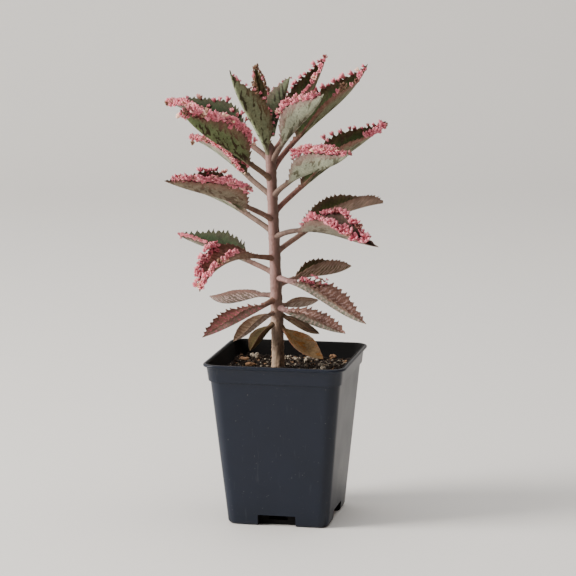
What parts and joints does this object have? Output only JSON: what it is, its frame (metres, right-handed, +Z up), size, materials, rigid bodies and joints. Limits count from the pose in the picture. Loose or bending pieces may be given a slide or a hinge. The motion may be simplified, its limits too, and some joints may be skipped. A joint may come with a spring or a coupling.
{
  "type": "potted mother of thousands plant",
  "caption": "Upright succulent with crossed pairs of folded, toothed leaves edged with tiny pink plantlets, rooted in soil in a square black nursery pot.",
  "frame": {"origin": "centre of the pot's base, on the surface it stands on", "axes": "+Z up along the stem; -Y out of the pot's front wall; +X to the right of the front wall"},
  "size_m": [0.1522, 0.164, 0.2882],
  "materials": {
    "pot_plastic": "satin",
    "soil": "matte",
    "perlite": "matte",
    "bark": "matte",
    "stem": "satin",
    "leaf_green": "satin",
    "leaf_brown": "satin"
  },
  "bodies": {
    "root": {"pot": "pot_plastic", "soil": "soil", "stem": "stem", "perlite_back_left": "perlite", "perlite_back": "perlite", "perlite_back_middle": "perlite", "perlite_right": "perlite", "perlite_right_back": "perlite", "perlite_right_near": "perlite", "perlite_front_right": "perlite", "bark_left": "bark", "bark_left_near": "bark", "bark_back_right": "bark", "leaf_14_front_right": "leaf_green", "leaf_14_back_left": "leaf_green", "leaf_13_front_left": "leaf_green", "leaf_13_back_right": "leaf_green", "leaf_12_front_right": "leaf_green", "leaf_12_back_left": "leaf_green", "leaf_11_front_left": "leaf_green", "leaf_11_back_right": "leaf_green", "leaf_10_front_right": "leaf_green", "leaf_10_back_left": "leaf_green", "leaf_09_front_left": "leaf_green", "leaf_09_back_right": "leaf_green", "leaf_08_front_right": "leaf_green", "leaf_08_back_left": "leaf_green", "leaf_07_front_left": "leaf_green", "leaf_07_back_right": "leaf_green", "leaf_06_front_right": "leaf_brown", "leaf_06_back_left": "leaf_brown", "leaf_05_front_left": "leaf_brown", "leaf_05_back_right": "leaf_brown", "leaf_04_front_right": "leaf_brown", "leaf_04_back_left": "leaf_brown", "leaf_03_front_left": "leaf_brown", "leaf_03_back_right": "leaf_brown", "leaf_02_right": "leaf_brown", "leaf_01_right": "leaf_brown", "leaf_01_left": "leaf_brown"}
  },
  "joints": []
}
